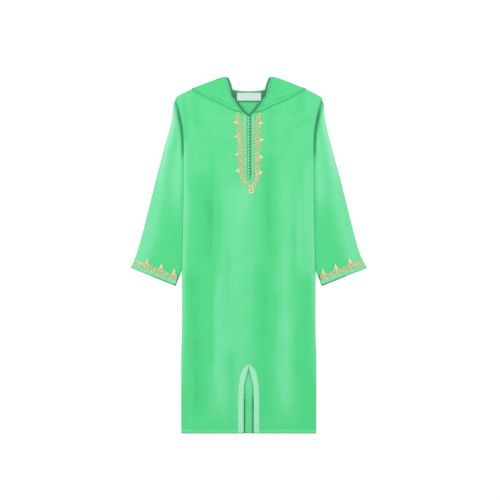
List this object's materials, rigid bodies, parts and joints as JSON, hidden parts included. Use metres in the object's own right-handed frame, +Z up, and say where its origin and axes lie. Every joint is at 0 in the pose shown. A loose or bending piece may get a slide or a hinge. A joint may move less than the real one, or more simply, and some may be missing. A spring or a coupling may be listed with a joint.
{
  "type": "djellaba",
  "caption": "Child's long hooded robe in mint crepe, laid flat: V neck with knotted buttons, gold neck and cuff embroidery, pale braid, arched hem slit, hood folded behind.",
  "frame": {"origin": "centre of the bounding box's underside, on the surface that the garment lies on", "axes": "+Y from hem to neck, +X to the viewer's right of a garment lying face up, +Z up"},
  "size_m": [0.69, 1.0418, 0.0138],
  "materials": {
    "mint_cloth": "mint green crepe satin with a soft sheen and a fine weave",
    "pale_braid": "pale mint woven braid with a soft lustre",
    "gold_thread": "matt gold and tan embroidery thread",
    "button_cord": "knotted silk cord in pale mint",
    "label_satin": "white woven satin label, bare"
  },
  "bodies": {
    "root": {"back_panel": "mint_cloth", "front_panel": "mint_cloth", "sleeve_left": "mint_cloth", "sleeve_right": "mint_cloth", "hood_left": "mint_cloth", "hood_right": "mint_cloth", "hood_middle": "mint_cloth", "hood_braid_left": "pale_braid", "hood_braid_right": "pale_braid", "placket_braid_left": "pale_braid", "placket_braid_right": "pale_braid", "hem_braid_left": "pale_braid", "hem_braid_right": "pale_braid", "cuff_braid_left": "pale_braid", "cuff_braid_right": "pale_braid", "neck_embroidery_left": "gold_thread", "neck_embroidery_right": "gold_thread", "neck_rosette": "gold_thread", "cuff_embroidery_left": "gold_thread", "cuff_embroidery_right": "gold_thread", "button_01": "button_cord", "button_02": "button_cord", "button_03": "button_cord", "button_04": "button_cord", "button_05": "button_cord", "button_06": "button_cord", "button_07": "button_cord", "button_08": "button_cord", "button_09": "button_cord", "button_10": "button_cord", "button_11": "button_cord", "button_12": "button_cord", "button_13": "button_cord", "button_14": "button_cord", "button_15": "button_cord", "button_16": "button_cord", "button_17": "button_cord", "button_18": "button_cord", "button_19": "button_cord", "button_20": "button_cord", "neck_label": "label_satin"}
  },
  "joints": []
}
